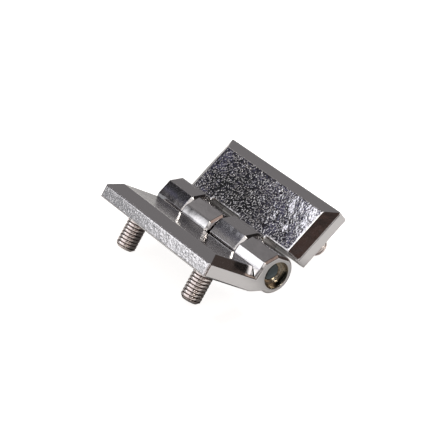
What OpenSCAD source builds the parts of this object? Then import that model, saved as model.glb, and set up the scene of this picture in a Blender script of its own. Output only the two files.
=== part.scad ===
// Leaf hinge with threaded studs, for doors and covers that are bolted from inside.
// Two die-cast leaves of one pattern share a pin, and each leaf holds two cast-in studs.
// The hinge stands as it is put down, half folded, on its barrel and on its stud tips.
// Lengths are in millimetres. X runs along the pin and the front leaf lies towards -Y.

/* [Leaf] */
// Length of each leaf along the pin
leaf_length = 50; // [46:1:80]
// Distance from the pin's axis to each leaf's outer edge
leaf_reach = 25; // [24:0.5:40]
// Thickness of each leaf, from its mounting face to its flat
leaf_thickness = 6.3; // [5.8:0.1:6.6]
// Height of the upright side walls under the bevel
side_wall_height = 3.7; // [3:0.1:4.6]
// Width of the bevel, measured across the flat
bevel_width = 3.2; // [2:0.1:4.5]
// Radius of the edges between a leaf's flat and its bevels
crest_radius = 0.9; // [0.2:0.1:1.2]
// Radius of the other cast edges round a leaf
edge_radius = 0.5; // [0.1:0.05:0.6]
// Radius of a leaf's upright corners
corner_radius = 1; // [0.2:0.1:1.5]

/* [Underside pockets] */
// Thickness of the wall that a pocket leaves under the flat
roof_thickness = 2.6; // [1.8:0.1:3.2]
// Width of the mounting rim along the outer edge and beside the knuckles
rim_width = 3; // [2:0.1:3.6]
// Width of the rib between the two pockets
rib_width = 2.4; // [1.5:0.1:5]
// Radius of the pockets' corners
pocket_radius = 1.4; // [0.4:0.1:2]

/* [Barrel] */
// Height of the pin's axis above the mounting faces
pin_height = 6.7; // [6.5:0.1:8]
// Number of knuckles, which belong to the two leaves in turn
knuckle_count = 4; // [2:2:6]
// Radius of the round side of the knuckles
barrel_radius = 5.7; // [5.5:0.1:6]
// Height of a knuckle's top flat above the pin's axis
knuckle_top = 5.4; // [5.2:0.1:5.6]
// Distance from the pin's axis to a knuckle's upright side
knuckle_side = 6.2; // [6:0.1:6.5]
// Width of the facet between the top flat and the upright side, measured along the side
knuckle_facet = 3.2; // [1.5:0.1:3.8]
// Draft of the upright side, which leans out towards its foot, in degrees
knuckle_draft = 7; // [0:0.5:9]
// Chamfer round both ends of a knuckle
knuckle_chamfer = 0.65; // [0.2:0.05:1.2]
// Drop of the neck's underside below the pin's axis, where it leaves the barrel
neck_drop = 5.5; // [5:0.1:5.6]
// Gap between neighbouring knuckles
knuckle_gap = 0.3; // [0.2:0.05:0.8]
// Clearance round a turning knuckle's corners in the other leaf's notch
swing_clearance = 0.4; // [0.3:0.05:1]

/* [Pin] */
// Diameter of the pin
pin_diameter = 5; // [4:0.1:5.6]
// Radial clearance of the pin in the back leaf, which turns on it
running_clearance = 0.05; // [0.02:0.01:0.1]
// Radial interference of the pin in the front leaf, which grips it
press_interference = 0.01; // [0:0.005:0.02]
// Diameter of the recess at each end of the barrel
recess_diameter = 8.1; // [7:0.1:8.6]
// Depth of the recess at each end of the barrel
recess_depth = 3; // [1.5:0.1:5]
// Height of the pin's end above the floor of its recess
pin_stand = 0.8; // [0.2:0.1:1.2]
// Chamfer at the pin's ends
pin_chamfer = 0.5; // [0.2:0.1:1]

/* [Studs] */
// Diameter of a stud's thread
stud_diameter = 6; // [5:0.5:6]
// Length of a stud below the mounting face
stud_length = 9.8; // [8:0.1:16]
// Distance from each end of a leaf to its nearest stud
stud_inset = 9.25; // [8.5:0.25:11]
// Distance from the pin's axis to the studs
stud_offset = 15.7; // [15.4:0.1:17]
// Chamfer at a stud's tip
stud_chamfer = 0.8; // [0.4:0.1:1.2]
// Depth by which a stud's plain shank, inside the leaf, lies under its thread's crests
shank_step = 0.35; // [0.2:0.05:0.6]
// Width of the relief round a stud in the mounting face, outside the thread
relief_width = 0.3; // [0.2:0.05:0.6]
// Depth of the relief round a stud in the mounting face
relief_depth = 0.4; // [0.2:0.05:0.8]
// Width across the flats of the stud's cast-in head
head_width = 9; // [8:0.1:10]
// Thickness of the stud's cast-in head
head_thickness = 2.2; // [1.5:0.1:2.6]
// Thickness of metal between the head and the mounting face
head_cover = 1.4; // [1:0.1:1.8]
// Thickness of metal round the head, up to the pocket
boss_wall = 1.2; // [0.8:0.1:1.8]

/* [Hidden] */
$fn = 96;

// Straight steps in the arc of a rounded edge
arc_steps = 4;
// Part of a boss's radius that reaches into the end of its pocket
boss_bite_share = 0.15;
// Corners of a stud's head
head_corners = 6;
// Overrun of every cut past the face that it opens
overrun = 1;

half_length = leaf_length / 2;
flat_z = leaf_thickness - pin_height;
wall_top_z = side_wall_height - pin_height;
knuckle_pitch = leaf_length / knuckle_count;
facet_start_y = knuckle_side - knuckle_facet;
facet_end_z = knuckle_top - knuckle_facet;
// The facet lies at 45 degrees, at this distance from the pin's axis
facet_distance = (knuckle_side + facet_end_z) / sqrt(2);
// The drafted side passes through the facet's lower edge, at this distance from the pin's axis
side_distance = knuckle_side * cos(knuckle_draft) + facet_end_z * sin(knuckle_draft);
side_foot_y = knuckle_side + (facet_end_z - flat_z) * tan(knuckle_draft);
// A notch clears the farthest corner of the knuckle that turns in it
notch_reach = max(norm([knuckle_side, facet_end_z]), norm([side_foot_y, flat_z]),
                  norm([facet_start_y, knuckle_top]), barrel_radius) + swing_clearance;
pocket_depth = leaf_thickness - roof_thickness;
stud_x = half_length - stud_inset;
head_corner_radius = head_width / 2 / cos(180 / head_corners);
boss_radius = head_corner_radius + boss_wall;
pin_radius = pin_diameter / 2;
recess_floor_x = half_length - recess_depth;

// Both leaves rise alike until the barrel and the inner edges of the stud tips touch the table
tip_radius = stud_diameter / 2 - stud_chamfer;
tip_drop = pin_height + stud_length;
tip_inner_y = stud_offset - tip_radius;
leaf_raise = acos(barrel_radius / norm([tip_inner_y, tip_drop])) - atan2(tip_inner_y, tip_drop);

// Unit vector along v
function unit(v) = v / norm(v);

// Arc that rounds the corner between two straight sides of an outline
function corner_arc(before, corner, after, radius) =
    let (to_before = unit(before - corner),
         to_after = unit(after - corner),
         half_angle = acos(to_before * to_after) / 2,
         centre = corner + unit(to_before + to_after) * radius / sin(half_angle),
         start = corner + to_before * radius / tan(half_angle) - centre,
         end = corner + to_after * radius / tan(half_angle) - centre,
         sweep = atan2(start.x * end.y - start.y * end.x, start * end),
         first = atan2(start.y, start.x))
    [for (i = [0 : arc_steps])
        let (angle = first + sweep * i / arc_steps)
        centre + radius * [cos(angle), sin(angle)]];

// Outline with each corner rounded by the radius of the same index, or kept where that is 0
function rounded(points, radii) =
    let (n = len(points))
    [for (i = [0 : n - 1])
        each (radii[i] > 0
            ? corner_arc(points[(i + n - 1) % n], points[i], points[(i + 1) % n], radii[i])
            : [points[i]])];

// Puts a leaf that is drawn with the pin's axis at the origin into its standing place
module stand(turn) {
    translate([0, 0, barrel_radius])
        rotate([0, 0, turn])
            rotate([leaf_raise, 0, 0])
                children();
}

// Extrudes an outline of [y, z] points along X, from x0 to x1
module along_x(x0, x1) {
    translate([x0, 0, 0])
        rotate([90, 0, 90])
            linear_extrude(x1 - x0)
                children();
}

// Extrudes an outline of [x, z] points along Y, from y0 to y1
module along_y(y0, y1) {
    translate([0, y1, 0])
        rotate([90, 0, 0])
            linear_extrude(y1 - y0)
                children();
}

// Cross-section of the plate, from the notches to the outer edge
module plate_section() {
    polygon(rounded(
        [[notch_reach, -pin_height], [leaf_reach, -pin_height], [leaf_reach, wall_top_z],
         [leaf_reach - bevel_width, flat_z], [notch_reach, flat_z]],
        [edge_radius, edge_radius, edge_radius, crest_radius, edge_radius]));
}

// Lengthwise section of the plate, with the bevels of its two short sides
module plate_end_section() {
    polygon(rounded(
        [[-half_length, -pin_height], [half_length, -pin_height], [half_length, wall_top_z],
         [half_length - bevel_width, flat_z], [bevel_width - half_length, flat_z],
         [-half_length, wall_top_z]],
        [edge_radius, edge_radius, edge_radius, crest_radius, crest_radius, edge_radius]));
}

// Outline of the plate, seen from above, which rounds its two outer upright corners
module plate_outline() {
    polygon(rounded(
        [[-half_length, -overrun], [half_length, -overrun], [half_length, leaf_reach],
         [-half_length, leaf_reach]],
        [0, 0, corner_radius, corner_radius]));
}

// Section of the neck under a knuckle, which leaves the barrel gently, clear of the chamfered
// ends, and slopes down to the mounting face
module neck_section() {
    polygon([[0, knuckle_chamfer + edge_radius - barrel_radius], [facet_start_y, -neck_drop],
             [notch_reach, -pin_height], [notch_reach + rim_width, -pin_height],
             [notch_reach + rim_width, flat_z], [facet_start_y, flat_z]]);
}

// Bar whose upper side ends at a height, with chamfers that come down past x0 and x1
module facet_bar(x0, x1, height) {
    foot = height - knuckle_chamfer - overrun;
    along_y(-leaf_reach, leaf_reach)
        polygon([[x0 - overrun, -leaf_reach], [x1 + overrun, -leaf_reach], [x1 + overrun, foot],
                 [x1 - knuckle_chamfer, height], [x0 + knuckle_chamfer, height],
                 [x0 - overrun, foot]]);
}

// Round bar about the pin's axis with chamfered ends
module round_bar(x0, x1, radius, chamfer) {
    translate([x0, 0, 0])
        rotate([90, 0, 90])
            rotate_extrude()
                polygon([[0, 0], [radius - chamfer, 0], [radius, chamfer],
                         [radius, x1 - x0 - chamfer], [radius - chamfer, x1 - x0],
                         [0, x1 - x0]]);
}

// Knuckle round towards the other leaf and faceted on top and on its own side. Its chamfers
// are those of a knuckle from x0 to x1, and its ends run past them.
module knuckle_bar(x0, x1) {
    intersection() {
        union() {
            round_bar(x0 - overrun, x1 + overrun, barrel_radius, knuckle_chamfer + overrun);
            along_x(x0 - overrun, x1 + overrun)
                polygon([[0, wall_top_z - overrun], [knuckle_side + overrun, wall_top_z - overrun],
                         [knuckle_side + overrun, knuckle_top + overrun],
                         [0, knuckle_top + overrun]]);
        }
        facet_bar(x0, x1, knuckle_top);
        rotate([-45, 0, 0])
            facet_bar(x0, x1, facet_distance);
        rotate([knuckle_draft - 90, 0, 0])
            facet_bar(x0, x1, side_distance);
    }
}

// Knuckle from x0 to x1 with the neck that joins it to the plate
module knuckle(x0, x1) {
    intersection() {
        union() {
            knuckle_bar(x0, x1);
            intersection() {
                along_x(x0 - overrun, x1 + overrun)
                    neck_section();
                along_y(-overrun, leaf_reach)
                    plate_end_section();
            }
        }
        translate([x0, -leaf_reach, -leaf_reach])
            cube([x1 - x0, 2 * leaf_reach, 2 * leaf_reach]);
    }
}

// Start of knuckle i, with half the gap where it has a neighbour
function knuckle_start(i) = -half_length + i * knuckle_pitch + (i > 0 ? knuckle_gap / 2 : 0);

// End of knuckle i, in the same way
function knuckle_end(i) =
    -half_length + (i + 1) * knuckle_pitch - (i < knuckle_count - 1 ? knuckle_gap / 2 : 0);

// Pocket in the underside on the +X side of the rib, which curves round the stud's boss
module pocket() {
    inner_y = notch_reach + rim_width;
    outer_y = leaf_reach - rim_width;
    end_x = stud_x - boss_radius * (1 - boss_bite_share);
    translate([0, 0, -pin_height - overrun])
        linear_extrude(pocket_depth + overrun)
            difference() {
                polygon(rounded(
                    [[rib_width / 2, inner_y], [end_x, inner_y], [end_x, outer_y],
                     [rib_width / 2, outer_y]],
                    [pocket_radius, pocket_radius, pocket_radius, pocket_radius]));
                translate([stud_x, stud_offset])
                    circle(r = boss_radius);
            }
}

// Puts a shape at the foot of a stud, on the mounting face at one side of the leaf's middle
module at_stud(side) {
    translate([side * stud_x, stud_offset, -pin_height])
        children();
}

// Part of a stud that is cast into the leaf: a six-sided head on a plain shank, which starts
// at a distance below the mounting face
module stud_anchor(start_below) {
    translate([0, 0, -start_below])
        cylinder(h = head_cover + start_below, r = stud_diameter / 2 - shank_step);
    translate([0, 0, head_cover])
        cylinder(h = head_thickness, r = head_corner_radius, $fn = head_corners);
}

// Stud of the leaf, threaded from its chamfered tip to the mounting face
module stud_in_leaf(side) {
    at_stud(side) {
        translate([0, 0, -stud_length])
            cylinder(h = stud_chamfer, r1 = tip_radius, r2 = stud_diameter / 2);
        translate([0, 0, stud_chamfer - stud_length])
            cylinder(h = stud_length - stud_chamfer, d = stud_diameter);
        stud_anchor(stud_chamfer);
    }
}

// One leaf, with its own knuckles at every second place from the -X end
module leaf(bore_radius) {
    difference() {
        union() {
            intersection() {
                along_x(-half_length - overrun, half_length + overrun)
                    plate_section();
                along_y(0, leaf_reach + overrun)
                    plate_end_section();
                translate([0, 0, -pin_height - overrun])
                    linear_extrude(leaf_thickness + 2 * overrun)
                        plate_outline();
            }
            for (i = [0 : 2 : knuckle_count - 1])
                knuckle(knuckle_start(i), knuckle_end(i));
        }
        along_x(-half_length - overrun, half_length + overrun)
            circle(r = bore_radius);
        for (side = [-1, 1])
            along_x(min(side * recess_floor_x, side * (half_length + overrun)),
                    max(side * recess_floor_x, side * (half_length + overrun)))
                circle(d = recess_diameter);
        for (side = [-1, 1])
            at_stud(side) {
                stud_anchor(overrun);
                translate([0, 0, -overrun])
                    cylinder(h = relief_depth + overrun, r = stud_diameter / 2 + relief_width);
            }
        pocket();
        mirror([1, 0, 0])
            pocket();
    }
}

module leaf_front() {
    color("silver")
        stand(180)
            leaf(pin_radius - press_interference);
}

module leaf_back() {
    color("silver")
        stand(0)
            leaf(pin_radius + running_clearance);
}

module hinge_pin() {
    pin_end_x = recess_floor_x + pin_stand;
    color("dimgray")
        translate([0, 0, barrel_radius])
            round_bar(-pin_end_x, pin_end_x, pin_radius, pin_chamfer);
}

module stud_front_near() {
    color("darkgray")
        stand(180)
            stud_in_leaf(-1);
}

module stud_front_far() {
    color("darkgray")
        stand(180)
            stud_in_leaf(1);
}

module stud_back_near() {
    color("darkgray")
        stand(0)
            stud_in_leaf(1);
}

module stud_back_far() {
    color("darkgray")
        stand(0)
            stud_in_leaf(-1);
}

leaf_front();
leaf_back();
hinge_pin();
stud_front_near();
stud_front_far();
stud_back_near();
stud_back_far();
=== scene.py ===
import math
from functools import partial

import bpy
import numpy as np
from mathutils import Matrix, Vector


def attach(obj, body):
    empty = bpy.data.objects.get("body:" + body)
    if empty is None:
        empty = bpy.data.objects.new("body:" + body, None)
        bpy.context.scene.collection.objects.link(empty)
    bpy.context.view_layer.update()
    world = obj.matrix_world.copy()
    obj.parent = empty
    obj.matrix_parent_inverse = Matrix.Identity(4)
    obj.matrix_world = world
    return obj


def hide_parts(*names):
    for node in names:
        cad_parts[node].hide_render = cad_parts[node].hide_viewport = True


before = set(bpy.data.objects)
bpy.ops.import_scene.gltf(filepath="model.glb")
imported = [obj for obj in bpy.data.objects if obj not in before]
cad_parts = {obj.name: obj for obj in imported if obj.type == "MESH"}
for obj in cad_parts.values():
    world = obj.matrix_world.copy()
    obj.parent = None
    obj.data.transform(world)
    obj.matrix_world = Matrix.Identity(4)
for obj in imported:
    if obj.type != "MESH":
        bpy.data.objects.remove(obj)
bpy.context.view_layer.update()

mm = 0.001

hinge = {
    "barrelRadius": 5.7,      # the pin's axis lies this high above the floor
    "pinHeight": 6.7,         # from a mounting face to the pin's axis
    "leafRaise": 35.203,      # degrees, of both leaves
    "halfLength": 25.0,
}


# Scene helpers

def addObject(name, mesh):
    obj = bpy.data.objects.new(name, mesh)
    bpy.context.scene.collection.objects.link(obj)
    return obj


# Mesh of a grid of points with shape (rows, columns, 3): each cell is one quad, and a
# closed direction joins its last line to its first.
def meshFromGrid(name, points, closed=(False, False), extraFaces=()):
    rows, columns = points.shape[:2]
    index = np.arange(rows * columns).reshape(rows, columns)
    down = np.roll(index, -1, 0) if closed[0] else index[1:]
    here = index if closed[0] else index[:-1]
    if closed[1]:
        a, b, c, d = here, np.roll(here, -1, 1), np.roll(down, -1, 1), down
    else:
        a, b, c, d = here[:, :-1], here[:, 1:], down[:, 1:], down[:, :-1]
    quads = np.stack([a, b, c, d], -1).reshape(-1, 4)
    mesh = bpy.data.meshes.new(name)
    faces = quads.tolist() + [list(face) for face in extraFaces]
    mesh.from_pydata(points.reshape(-1, 3).tolist(), [], faces)
    mesh.update()
    return mesh


# Leaf frame to row frame, in metres: raised about the pin, side -1 is the front leaf
def standMatrix(side):
    turn = Matrix.Rotation(math.pi, 4, "Z") if side < 0 else Matrix.Identity(4)
    raised = Matrix.Rotation(math.radians(hinge["leafRaise"]), 4, "X")
    lift = Matrix.Translation((0, 0, hinge["barrelRadius"] * mm))
    return lift @ turn @ raised @ Matrix.Scale(mm, 4)


# Node helpers

def newMaterial(name):
    material = bpy.data.materials.new(name)
    material.use_nodes = True
    tree = material.node_tree
    tree.nodes.clear()
    output = tree.nodes.new("ShaderNodeOutputMaterial")
    shader = tree.nodes.new("ShaderNodeBsdfPrincipled")
    tree.links.new(shader.outputs[0], output.inputs["Surface"])
    return material, tree, shader


# New node with its settings, and inputs as values or as sockets to link
def addNode(tree, kind, inputs=None, **settings):
    node = tree.nodes.new(kind)
    for key, value in settings.items():
        setattr(node, key, value)
    for key, value in (inputs or {}).items():
        if isinstance(value, bpy.types.NodeSocket):
            tree.links.new(value, node.inputs[key])
        else:
            node.inputs[key].default_value = value
    return node


def mathNode(tree, operation, *values):
    return addNode(tree, "ShaderNodeMath", dict(enumerate(values)), operation=operation).outputs[0]


def mixNode(tree, factor, a, b):
    return addNode(tree, "ShaderNodeMix", {"Factor": factor, "A": a, "B": b}).outputs[0]


def mapNode(tree, value, fromRange, toRange=(0.0, 1.0), kind="LINEAR"):
    return addNode(tree, "ShaderNodeMapRange",
                   {"Value": value, "From Min": fromRange[0], "From Max": fromRange[1],
                    "To Min": toRange[0], "To Max": toRange[1]}, interpolation_type=kind).outputs[0]


def noiseNode(tree, place, scale, detail, **inputs):
    return addNode(tree, "ShaderNodeTexNoise", {"Vector": place, "Scale": scale, "Detail": detail,
                                                **inputs}).outputs["Fac"]


# Millimetres along one axis of a frame: the place times that row of the frame's inverse matrix
def alongAxis(tree, place, row):
    dot = addNode(tree, "ShaderNodeVectorMath", {0: place, 1: tuple(row[:3])},
                  operation="DOT_PRODUCT").outputs["Value"]
    return mathNode(tree, "ADD", dot, row[3])


# Materials

chrome = {
    "color": (0.60, 0.585, 0.585),
    "boreColor": (0.46, 0.42, 0.36),    # thin plate deep in the bores and recesses
    "boreRoughness": 0.18,
    "grainScale": 1400.0,     # cast skin under the plate; scales are in waves per metre
    "grainHeight": 0.10,      # at full strength
    "grainRoughness": 0.35,
    "waveScale": 260.0,       # slow swell of the plate
    "waveHeight": 0.16,
    "waveRoughness": 0.4,
    "noiseDetail": 1.0,       # of the grain and the wave
    "spotScale": 1900.0,      # small steep spots of the cast skin
    "spotHeight": 0.045,
    "spotRange": (0.57, 0.70),          # noise values across which a spot rises
    "patchScale": 130.0,      # places with many spots and grain, and calmer ones between them
    "patchDetail": 2.0,
    "patchRange": (0.38, 0.62),
    "patchLeast": 0.35,       # share of the spots and the grain that calm places keep
    "edgeRadius": 0.25,
    "notchRadius": 0.75,      # of the worn edges beside the other leaf's knuckles
    "edgeSamples": 8,
    "sideCrown": 0.02,        # height lost at 1 mm from the middle of a knuckle's side
    "topCrown": 0.016,        # the same on its top
}

# Strength of the grain, of the wave and of the spots, and roughness, by region
skins = {
    "front": {"rest": (0.08, 0.28, 0, 0.08), "flat": (0.06, 0.3, 0, 0.17),
              "wall": (0.38, 0.3, 1.1, 0.14), "knuckleTop": (0.08, 0.15, 0, 0.09)},
    "back": {"rest": (0.08, 0.28, 0, 0.08), "flat": (0.5, 0.7, 2.2, 0.05),
             "wall": (0.38, 0.3, 1.1, 0.14), "knuckleTop": (0.12, 0.6, 0, 0.16)},
}

# Limits of the regions in the leaf's own frame: heights above the pin's axis and distances
# outward from it
regions = {
    "wallFrom": 24.6,         # outward distance past which the outer wall lies
    "knuckleTopFrom": 5.36,   # height of the knuckles' top flats
    "knuckleSideFrom": 5.9,   # outward distances between which the knuckles' sides lie
    "knuckleSideTo": 7.1,
    "knuckleSideAbove": -0.38,
    "knuckleSideMiddle": 1.0,
    "boreTo": 4.1,            # distance from the pin's axis within which the bores and recesses lie
    "flatFrom": -0.46,        # height of the leaf's flat
    "flatStart": 6.8,         # outward distance at which the flat starts
    "notchBelow": -0.36,      # height under which the notches' edges lie
    "notchTo": 7.9,           # outward distance within which they lie
}


# Bright plate over a casting: a mirror with a grained skin, mostly on the leaf's flat and on its
# outer wall, and softened edges
def makeChrome(name, side, skin):
    material, tree, shader = newMaterial(name)
    calc = partial(mathNode, tree)
    shader.inputs["Metallic"].default_value = 1.0
    place = addNode(tree, "ShaderNodeTexCoord").outputs["Object"]
    inLeaf = standMatrix(side).inverted()
    out, up = (alongAxis(tree, place, inLeaf[axis]) for axis in (1, 2))

    onWall = calc("GREATER_THAN", out, regions["wallFrom"])
    onTop = calc("GREATER_THAN", up, regions["knuckleTopFrom"])
    onFlat = calc("MULTIPLY", calc("GREATER_THAN", up, regions["flatFrom"]),
                  calc("GREATER_THAN", out, regions["flatStart"]))
    inNotch = calc("MULTIPLY", calc("LESS_THAN", up, regions["notchBelow"]),
                   calc("LESS_THAN", out, regions["notchTo"]))
    fromAxis = calc("POWER", calc("ADD", calc("MULTIPLY", out, out), calc("MULTIPLY", up, up)), 0.5)
    inBore = calc("LESS_THAN", fromAxis, regions["boreTo"])

    def byRegion(index):
        value = skin["rest"][index]
        for mask, part in ((onFlat, "flat"), (onWall, "wall"), (onTop, "knuckleTop")):
            value = mixNode(tree, mask, value, skin[part][index])
        return value

    # The crowns: height -c (u - m)^2 across each knuckle's side and top
    onSide = calc("MULTIPLY", calc("GREATER_THAN", out, regions["knuckleSideFrom"]),
                  calc("LESS_THAN", out, regions["knuckleSideTo"]))
    onSide = calc("MULTIPLY", onSide, calc("GREATER_THAN", up, regions["knuckleSideAbove"]))
    offSide = calc("SUBTRACT", up, regions["knuckleSideMiddle"])
    sideSquare = calc("MULTIPLY", calc("MULTIPLY", offSide, offSide), onSide)
    topSquare = calc("MULTIPLY", calc("MULTIPLY", out, out), onTop)
    crown = calc("ADD", calc("MULTIPLY", sideSquare, -chrome["sideCrown"]),
                 calc("MULTIPLY", topSquare, -chrome["topCrown"]))

    grain = noiseNode(tree, place, chrome["grainScale"], chrome["noiseDetail"],
                      Roughness=chrome["grainRoughness"])
    wave = noiseNode(tree, place, chrome["waveScale"], chrome["noiseDetail"],
                     Roughness=chrome["waveRoughness"])
    patch = noiseNode(tree, place, chrome["patchScale"], chrome["patchDetail"])
    busy = mapNode(tree, patch, chrome["patchRange"], (chrome["patchLeast"], 1.0))
    spot = mapNode(tree, noiseNode(tree, place, chrome["spotScale"], 0.0), chrome["spotRange"],
                   kind="SMOOTHSTEP")

    radius = mixNode(tree, inNotch, chrome["edgeRadius"] * mm, chrome["notchRadius"] * mm)
    normal = addNode(tree, "ShaderNodeBevel", {"Radius": radius},
                     samples=chrome["edgeSamples"]).outputs[0]
    for height, strength, distance in (
            (crown, 1.0, 1.0),
            (wave, byRegion(1), chrome["waveHeight"]),
            (spot, calc("MULTIPLY", byRegion(2), busy), chrome["spotHeight"]),
            (grain, calc("MULTIPLY", byRegion(0), busy), chrome["grainHeight"])):
        normal = addNode(tree, "ShaderNodeBump",
                         {"Height": height, "Strength": strength, "Distance": distance * mm,
                          "Normal": normal}).outputs[0]
    tree.links.new(normal, shader.inputs["Normal"])

    color = addNode(tree, "ShaderNodeMix", {"Factor": inBore, "A": (*chrome["color"], 1),
                                            "B": (*chrome["boreColor"], 1)}, data_type="RGBA")
    tree.links.new(color.outputs["Result"], shader.inputs["Base Color"])
    gloss = mixNode(tree, inBore, byRegion(3), chrome["boreRoughness"])
    tree.links.new(gloss, shader.inputs["Roughness"])
    return material


pinSteel = {
    "color": (0.085, 0.10, 0.105),
    "roughness": 0.2,
    "roughnessShare": (0.8, 1.25),      # of the roughness, across the grain
    "grainScale": 9000.0,
    "grainDetail": 4.0,
    "grainRange": (0.3, 0.7),
    "grainHeight": 0.001,
}


# Turned steel with fine uneven gloss
def makePinSteel(name):
    material, tree, shader = newMaterial(name)
    shader.inputs["Metallic"].default_value = 1.0
    shader.inputs["Base Color"].default_value = (*pinSteel["color"], 1)
    place = addNode(tree, "ShaderNodeTexCoord").outputs["Object"]
    grain = noiseNode(tree, place, pinSteel["grainScale"], pinSteel["grainDetail"])
    bump = addNode(tree, "ShaderNodeBump", {"Height": grain, "Strength": 1.0,
                                            "Distance": pinSteel["grainHeight"] * mm})
    tree.links.new(bump.outputs[0], shader.inputs["Normal"])
    gloss = mapNode(tree, grain, pinSteel["grainRange"],
                    [share * pinSteel["roughness"] for share in pinSteel["roughnessShare"]])
    tree.links.new(gloss, shader.inputs["Roughness"])
    return material


studSteel = {
    "color": (0.78, 0.71, 0.68),
    # painted shade in the thread's roots, which the colour blends into from the crests
    "rootShadeColor": (0.15, 0.105, 0.09),
    "roughness": 0.2,
    "crestRange": (0.08, 0.44),         # way from root to crest across which the colour changes
}


# Rolled steel with painted shade darkening the thread's roots: the root lies where the phase, height
# over pitch less the turn about the stud, is a half
def makeStudSteel(name, inStud):
    material, tree, shader = newMaterial(name)
    calc = partial(mathNode, tree)
    shader.inputs["Metallic"].default_value = 1.0
    shader.inputs["Roughness"].default_value = studSteel["roughness"]
    place = addNode(tree, "ShaderNodeTexCoord").outputs["Object"]
    x, y, z = (alongAxis(tree, place, inStud[axis]) for axis in range(3))
    turn = calc("DIVIDE", calc("ARCTAN2", y, x), 2 * math.pi)
    pitches = calc("DIVIDE", calc("ADD", z, stud["length"]), stud["pitch"])
    phase = calc("FRACT", calc("SUBTRACT", pitches, turn))
    away = calc("ABSOLUTE", calc("SUBTRACT", calc("MULTIPLY", phase, 2.0), 1.0))
    # painted root shade: darkest in the thread's roots, the steel's own colour on the crests
    crest = mapNode(tree, away, studSteel["crestRange"], kind="SMOOTHSTEP")
    color = addNode(tree, "ShaderNodeMix", {"Factor": crest, "A": (*studSteel["rootShadeColor"], 1),
                                            "B": (*studSteel["color"], 1)}, data_type="RGBA")
    tree.links.new(color.outputs["Result"], shader.inputs["Base Color"])
    return material


# Camera, fitted to the corners of both leaves in the photograph

camera = {
    "place": (335.144, -249.088, 273.521),
    "azimuth": 53.319,        # degrees, turned about Z from looking along +Y
    "elevation": 32.31,
    "roll": 0.802,
    "lens": 142.8,
    "sensor": 36.0,           # its width
    "clip": (0.01, 20.0),     # metres
}


def makeCamera():
    data = bpy.data.cameras.new("camera")
    data.lens = camera["lens"]
    data.sensor_width = camera["sensor"]
    data.clip_start, data.clip_end = camera["clip"]
    obj = addObject("camera", data)
    obj.matrix_world = (Matrix.Translation(Vector(camera["place"]) * mm)
                        @ Matrix.Rotation(math.radians(camera["azimuth"]), 4, "Z")
                        @ Matrix.Rotation(math.radians(90 - camera["elevation"]), 4, "X")
                        @ Matrix.Rotation(math.radians(camera["roll"]), 4, "Z"))
    bpy.context.scene.camera = obj
    bpy.context.scene.view_settings.view_transform = "Standard"


makeCamera()
print("camera ready")

# Threaded studs

stud = {
    "crestRadius": 2.97,
    "rootRadius": 2.7,
    "grooveShare": 0.46,      # part of the pitch that the groove between two crests takes
    "crown": 0.02,
    "pitch": 1.0,
    "length": 9.8,
    "chamfer": 0.8,
    "inset": 9.25,            # from a leaf's end
    "offset": 15.7,           # from the pin's axis
    "rowsPerPitch": 18,
    "columns": 72,
}


# Radius as a function of angle and height: a smooth step 3 w^2 - 2 w^3 from root to crest
# across each side of the groove and a slight crown beyond it, where the phase advances by one
# pitch a turn, cut down to the chamfer cone at the tip.
def threadMesh(name):
    rows = int(stud["length"] * stud["rowsPerPitch"] / stud["pitch"]) + 1
    height = np.linspace(0, stud["length"], rows)[:, None]
    angle = np.linspace(0, 2 * np.pi, stud["columns"], endpoint=False)[None, :]
    phase = (height / stud["pitch"] - angle / (2 * np.pi)) % 1
    away = np.abs(phase * 2 - 1)
    wave = np.clip(away / stud["grooveShare"], 0, 1)
    depth = stud["crestRadius"] - stud["crown"] - stud["rootRadius"]
    radius = stud["rootRadius"] + depth * (3 * wave**2 - 2 * wave**3) + stud["crown"] * away**2
    cone = stud["crestRadius"] - stud["chamfer"] + height
    radius = np.minimum(radius, cone)
    points = np.stack([radius * np.cos(angle), radius * np.sin(angle),
                       np.broadcast_to(height, radius.shape) - stud["length"]], -1)
    rim = np.arange(stud["columns"])
    caps = [rim[::-1].tolist(), (rim + (rows - 1) * stud["columns"]).tolist()]
    return meshFromGrid(name, points, (False, True), caps)


def makeStud(node, body, side, along):
    foot = Matrix.Translation((along * (hinge["halfLength"] - stud["inset"]), stud["offset"],
                               -hinge["pinHeight"]))
    stand = standMatrix(side) @ foot
    mesh = threadMesh(node + "_thread")
    mesh.transform(stand)
    mesh.shade_smooth()
    for cap in (mesh.polygons[-2], mesh.polygons[-1]):
        cap.use_smooth = False
    mesh.materials.append(makeStudSteel(node + "_steel", stand.inverted()))
    obj = addObject(node + "_thread", mesh)
    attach(obj, body)
    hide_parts(node)


# Pin with cupped ends, deep in the barrel's recesses

pin = {
    "radius": 2.5,
    "endFromMiddle": 22.8,
    "chamfer": 0.2,
    "cupDepth": 0.45,
    "eyeRadius": 0.1,         # of the small flat at the bottom of each cup
    "cupRings": 16,
    "columns": 72,
}


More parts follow.
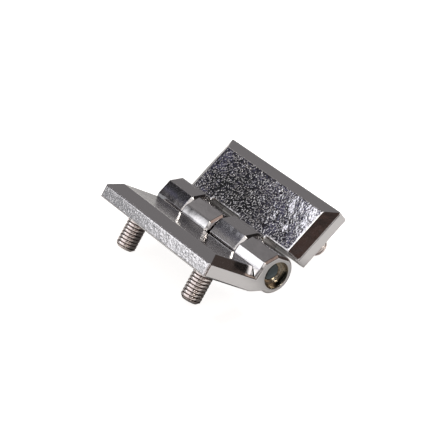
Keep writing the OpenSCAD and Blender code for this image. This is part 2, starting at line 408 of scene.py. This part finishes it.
# Lathed about X: each end is hollowed by a sphere of radius R, which at the radius R sin(a)
# lies R (1 - cos(a)) above its bottom, and ends in a chamfer.
def makePin(node, body, material):
    rim = pin["radius"] - pin["chamfer"]
    sphere = (rim**2 + pin["cupDepth"]**2) / (2 * pin["cupDepth"])
    angle = np.linspace(math.asin(pin["eyeRadius"] / sphere), math.asin(rim / sphere),
                        pin["cupRings"])
    endX = np.append(pin["endFromMiddle"] - pin["cupDepth"] + sphere * (1 - np.cos(angle)),
                     pin["endFromMiddle"] - pin["chamfer"])
    endRadius = np.append(sphere * np.sin(angle), pin["radius"])
    x = np.concatenate([-endX, endX[::-1]])[:, None]
    radius = np.concatenate([endRadius, endRadius[::-1]])[:, None]
    turn = np.linspace(0, 2 * np.pi, pin["columns"], endpoint=False)[None, :]
    points = np.stack([np.broadcast_to(x, (len(x), pin["columns"])), radius * np.cos(turn),
                       radius * np.sin(turn) + hinge["barrelRadius"]], -1) * mm
    ring = np.arange(pin["columns"])
    caps = [ring[::-1].tolist(), (ring + (len(x) - 1) * pin["columns"]).tolist()]
    mesh = meshFromGrid("pinShaft", points, (False, True), caps)
    mesh.shade_smooth()
    mesh.materials.append(material)
    obj = addObject("pinShaft", mesh)
    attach(obj, body)
    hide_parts(node)


for name, side in (("front", -1), ("back", 1)):
    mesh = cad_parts["leaf_" + name].data
    mesh.materials.clear()
    mesh.materials.append(makeChrome(name + "Chrome", side, skins[name]))
print("leaves ready")
makePin("hinge_pin", "front_leaf", makePinSteel("pinSteel"))
print("pin ready")
makeStud("stud_front_near", "front_leaf", -1, -1)
makeStud("stud_front_far", "front_leaf", -1, 1)
makeStud("stud_back_near", "back_leaf", 1, 1)
makeStud("stud_back_far", "back_leaf", 1, -1)
print("studs ready")


# Studio

studio = {
    "floorSize": 6000.0,
    "floorColor": (0.62, 0.61, 0.60),
    "floorTint": (1.0, 0.985, 0.975),   # of its glow
    "floorRoughness": 0.9,
    "floorGlow": 0.07,        # what the metal sees of the floor beside its lit part
    "floorWhite": 0.95,       # what the camera sees
    "overheadSize": 1200.0,
    "overheadHeight": 900.0,
    "overheadPower": 14.5,
}

# Painted shade on the floor, darkening what the metal reflects of it, and under the back leaf a
# painted shadow that the camera sees too: middle, half widths, width of the soft border, share of
# light left for the metal's reflections, and the same for the camera
paintedFloorShades = {
    # painted shadow under the hinge, seen by the camera too; the others darken only the metal's
    # reflections
    "under the back leaf": ((-7.5, 12.5), (20.5, 9.5), 4, 0.8, 0.12),
    "beyond the barrel's end": ((33, 7), (6, 8), 7, 0.65, 1.0),
    "beside the studs": ((8, -19), (22, 9), 5, 0.3, 1.0),
    "beyond the near stud": ((31, -17), (8, 5.5), 5, 0.3, 1.0),
    "beyond the far end": ((-50, 18), (20, 16), 16, 0.45, 1.0),
}


# 1 where the value is within half of the middle, falling smoothly to 0 across the border
def window(tree, value, middle, half, border, wrap=False):
    offset = mathNode(tree, "SUBTRACT", value, middle)
    if wrap:
        offset = mathNode(tree, "WRAP", offset, math.pi, -math.pi)
    away = mathNode(tree, "ABSOLUTE", offset)
    return mapNode(tree, away, (half - border / 2, half + border / 2), (1.0, 0.0), "SMOOTHSTEP")


# Pale floor, clear from below, with painted shade in the places listed above
def makeFloor():
    reach = studio["floorSize"] * mm / 2
    corners = np.array([[[x, y, 0] for x in (-reach, reach)] for y in (-reach, reach)])
    mesh = meshFromGrid("floor", corners)
    material, tree, shader = newMaterial("paleFloor")
    calc = partial(mathNode, tree)
    shader.inputs["Roughness"].default_value = studio["floorRoughness"]
    shader.inputs["Specular IOR Level"].default_value = 0.0
    shader.inputs["Emission Color"].default_value = (*studio["floorTint"], 1)
    seen = addNode(tree, "ShaderNodeLightPath").outputs["Is Camera Ray"]
    place = addNode(tree, "ShaderNodeTexCoord").outputs["Object"]
    parts = addNode(tree, "ShaderNodeSeparateXYZ", {0: place}).outputs
    share, seenShare = 1.0, 1.0
    for middle, half, border, left, seenLeft in paintedFloorShades.values():
        masks = [window(tree, parts["XY"[i]], middle[i] * mm, half[i] * mm, border * mm)
                 for i in (0, 1)]
        inside = calc("MULTIPLY", *masks)
        share = calc("MULTIPLY", share, mapNode(tree, inside, (0.0, 1.0), (1.0, left)))
        seenShare = calc("MULTIPLY", seenShare, mapNode(tree, inside, (0.0, 1.0), (1.0, seenLeft)))
    glow = calc("MULTIPLY", share, studio["floorGlow"])
    white = calc("MULTIPLY", seenShare, studio["floorWhite"])
    tree.links.new(mixNode(tree, seen, glow, white), shader.inputs["Emission Strength"])
    # the painted shade darkens the floor's colour as well as its glow
    color = addNode(tree, "ShaderNodeVectorMath", {0: studio["floorColor"], "Scale": share},
                    operation="SCALE").outputs[0]
    tree.links.new(color, shader.inputs["Base Color"])
    below = addNode(tree, "ShaderNodeNewGeometry").outputs["Backfacing"]
    clear = addNode(tree, "ShaderNodeBsdfTransparent")
    sheet = addNode(tree, "ShaderNodeMixShader", {0: below, 1: shader.outputs[0], 2: clear.outputs[0]})
    tree.links.new(sheet.outputs[0], tree.nodes["Material Output"].inputs["Surface"])
    mesh.materials.append(material)
    addObject("floor", mesh)


# Wide lamp above, for the floor alone
def makeOverhead():
    data = bpy.data.lights.new("overhead", "AREA")
    data.size = studio["overheadSize"] * mm
    data.energy = studio["overheadPower"]
    obj = addObject("overhead", data)
    obj.location = (0, 0, studio["overheadHeight"] * mm)
    obj.visible_camera = False
    obj.visible_glossy = False


# Light cards near the hinge, so that one end of it sees more of a card than the other.
# The direction is azimuth and height in degrees, azimuth counted from +X towards +Y; middle and
# half are across and up the card; radiance is at its middle and fades across its border.
cards = {
    "leftCard": {"direction": (-142, 30), "distance": 250, "middle": (67, -1), "half": (67, 50),
                 "border": (40, 12), "radiance": 2.0, "color": (0.96, 0.965, 1.0)},
    "lowCard": {"direction": (-142, 30), "distance": 256, "middle": (45, -85), "half": (90, 30),
                "border": (30, 20), "radiance": 0.45, "color": (0.93, 0.96, 1.0)},
    "dimCard": {"direction": (-142, 30), "distance": 258, "middle": (-20, 48), "half": (22, 18),
                "border": (24, 24), "radiance": 0.4, "color": (1.0, 0.96, 0.95)},
    "upperCard": {"direction": (-142, 30), "distance": 262, "middle": (10, 121), "half": (66, 28),
                  "border": (14, 12), "radiance": 2.0, "color": (0.90, 0.91, 1.0)},
    "blackCard": {"direction": (-142, 30), "distance": 246, "middle": (-55, 58), "half": (14, 13),
                  "border": (10, 10), "radiance": 0.03, "color": (0.9, 0.95, 1.0)},
    "topCard": {"direction": (-97, 75), "distance": 300, "middle": (0, 0), "half": (95, 95),
                "border": (40, 40), "radiance": 2.7, "color": (1.0, 0.985, 0.975)},
}


# One square sheet facing the hinge, given in the card's own frame: X across, Y up
def makeCard(name, card):
    azimuth, height = (math.radians(a) for a in card["direction"])
    out = Vector((math.cos(height) * math.cos(azimuth), math.cos(height) * math.sin(azimuth),
                  math.sin(height)))
    across = Vector((-math.sin(azimuth), math.cos(azimuth), 0))
    up = out.cross(across)
    frameOfCard = Matrix((across, up, out)).transposed().to_4x4()
    reach = [(card["half"][i] + card["border"][i] / 2) * mm for i in (0, 1)]
    middle = [card["middle"][i] * mm for i in (0, 1)]
    corners = np.array([[[middle[0] + a * reach[0], middle[1] + b * reach[1], 0] for a in (-1, 1)]
                        for b in (1, -1)])
    mesh = meshFromGrid(name, corners)
    material, tree, shader = newMaterial(name)
    tree.nodes.remove(shader)
    place = addNode(tree, "ShaderNodeTexCoord").outputs["Object"]
    parts = addNode(tree, "ShaderNodeSeparateXYZ", {0: place}).outputs
    masks = [window(tree, parts["XY"[i]], middle[i], card["half"][i] * mm, card["border"][i] * mm)
             for i in (0, 1)]
    mask = mathNode(tree, "MULTIPLY", *masks)
    strength = mathNode(tree, "MULTIPLY", mask, card["radiance"])
    glow = addNode(tree, "ShaderNodeEmission", {"Color": (*card["color"], 1), "Strength": strength})
    clear = addNode(tree, "ShaderNodeBsdfTransparent")
    sheet = addNode(tree, "ShaderNodeMixShader", {0: mask, 1: clear.outputs[0], 2: glow.outputs[0]})
    tree.links.new(sheet.outputs[0], tree.nodes["Material Output"].inputs["Surface"])
    mesh.materials.append(material)
    obj = addObject(name, mesh)
    obj.matrix_world = Matrix.Translation(out * card["distance"] * mm) @ frameOfCard
    obj.visible_camera = False
    obj.visible_diffuse = False


# Soft patches of the studio's walls: middle azimuth and height in degrees, half widths,
# width of the soft border, and radiance
patches = {
    "back wall": ((138, 30), (44, 34), 14, (0.25, 0.24, 0.245)),
    "far wall": ((168, 48), (15, 14), 14, (0.36, 0.345, 0.35)),
    "left wall": ((-160, 46), (24, 14), 14, (0.235, 0.23, 0.335)),
    "brown shade": ((-30, 51), (20, 7), 6, (0.115, 0.066, 0.055)),
    "far shade": ((92, 12), (18, 12), 8, (0.08, 0.062, 0.056)),
    "back card": ((38, 33), (13, 9), 6, (0.9, 0.72, 0.60)),
    "warm lamp": ((-8, 47), (9, 5), 3, (14.0, 13.5, 12.4)),
    "front card": ((-95, 20), (29, 18), 8, (1.15, 1.1, 1.12)),
    "right card": ((-24, 32), (14, 9), 7, (1.3, 1.25, 1.22)),
    "right low card": ((-50, 12), (13, 9), 7, (0.75, 0.7, 0.68)),
    "brown card": ((-20, 4), (18, 12), 7, (0.17, 0.115, 0.095)),
    "far top card": ((20, 52), (11, 7), 6, (0.60, 0.45, 0.39)),
}
ambient = (0.022, 0.020, 0.020)     # radiance between the patches

# Patches broken up by noise: its scale along each axis, and the noise values between which the
# patch comes in
mottled = {
    "left wall": {"scale": (7.0, 7.0, 16.0), "from": 0.50, "to": 0.59},
    "brown shade": {"scale": (26.0, 26.0, 26.0), "from": 0.40, "to": 0.58},
}


# Dim room with soft bright patches. The camera sees plain white.
def makeWorld():
    world = bpy.data.worlds.new("studio")
    bpy.context.scene.world = world
    world.use_nodes = True
    tree = world.node_tree
    tree.nodes.clear()
    ray = addNode(tree, "ShaderNodeTexCoord").outputs["Generated"]
    parts = addNode(tree, "ShaderNodeSeparateXYZ", {0: ray}).outputs
    height = mathNode(tree, "ARCSINE", parts["Z"])
    azimuth = mathNode(tree, "ARCTAN2", parts["Y"], parts["X"])
    total = addNode(tree, "ShaderNodeCombineXYZ", dict(zip("XYZ", ambient))).outputs[0]
    for name, (middle, half, border, radiance) in patches.items():
        middle, half, border = np.radians(middle), np.radians(half), math.radians(border)
        across = window(tree, azimuth, middle[0], half[0], border, True)
        up = window(tree, height, middle[1], half[1], border)
        mask = mathNode(tree, "MULTIPLY", across, up)
        if name in mottled:
            stretched = addNode(tree, "ShaderNodeVectorMath", {0: ray, 1: mottled[name]["scale"]},
                                operation="MULTIPLY").outputs[0]
            noise = noiseNode(tree, stretched, 1.0, 2.0)
            blotch = mapNode(tree, noise, (mottled[name]["from"], mottled[name]["to"]))
            mask = mathNode(tree, "MULTIPLY", mask, blotch)
        shade = addNode(tree, "ShaderNodeVectorMath", {0: radiance, "Scale": mask},
                        operation="SCALE").outputs[0]
        total = addNode(tree, "ShaderNodeVectorMath", {0: total, 1: shade},
                        operation="MAXIMUM").outputs[0]
    room = addNode(tree, "ShaderNodeBackground", {"Color": total})
    white = addNode(tree, "ShaderNodeBackground", {"Color": (1, 1, 1, 1)})
    seen = addNode(tree, "ShaderNodeLightPath").outputs["Is Camera Ray"]
    mixed = addNode(tree, "ShaderNodeMixShader", {0: seen, 1: room.outputs[0], 2: white.outputs[0]})
    output = addNode(tree, "ShaderNodeOutputWorld")
    tree.links.new(mixed.outputs[0], output.inputs["Surface"])


makeFloor()
makeOverhead()
for name, card in cards.items():
    makeCard(name, card)
makeWorld()
print("studio ready")
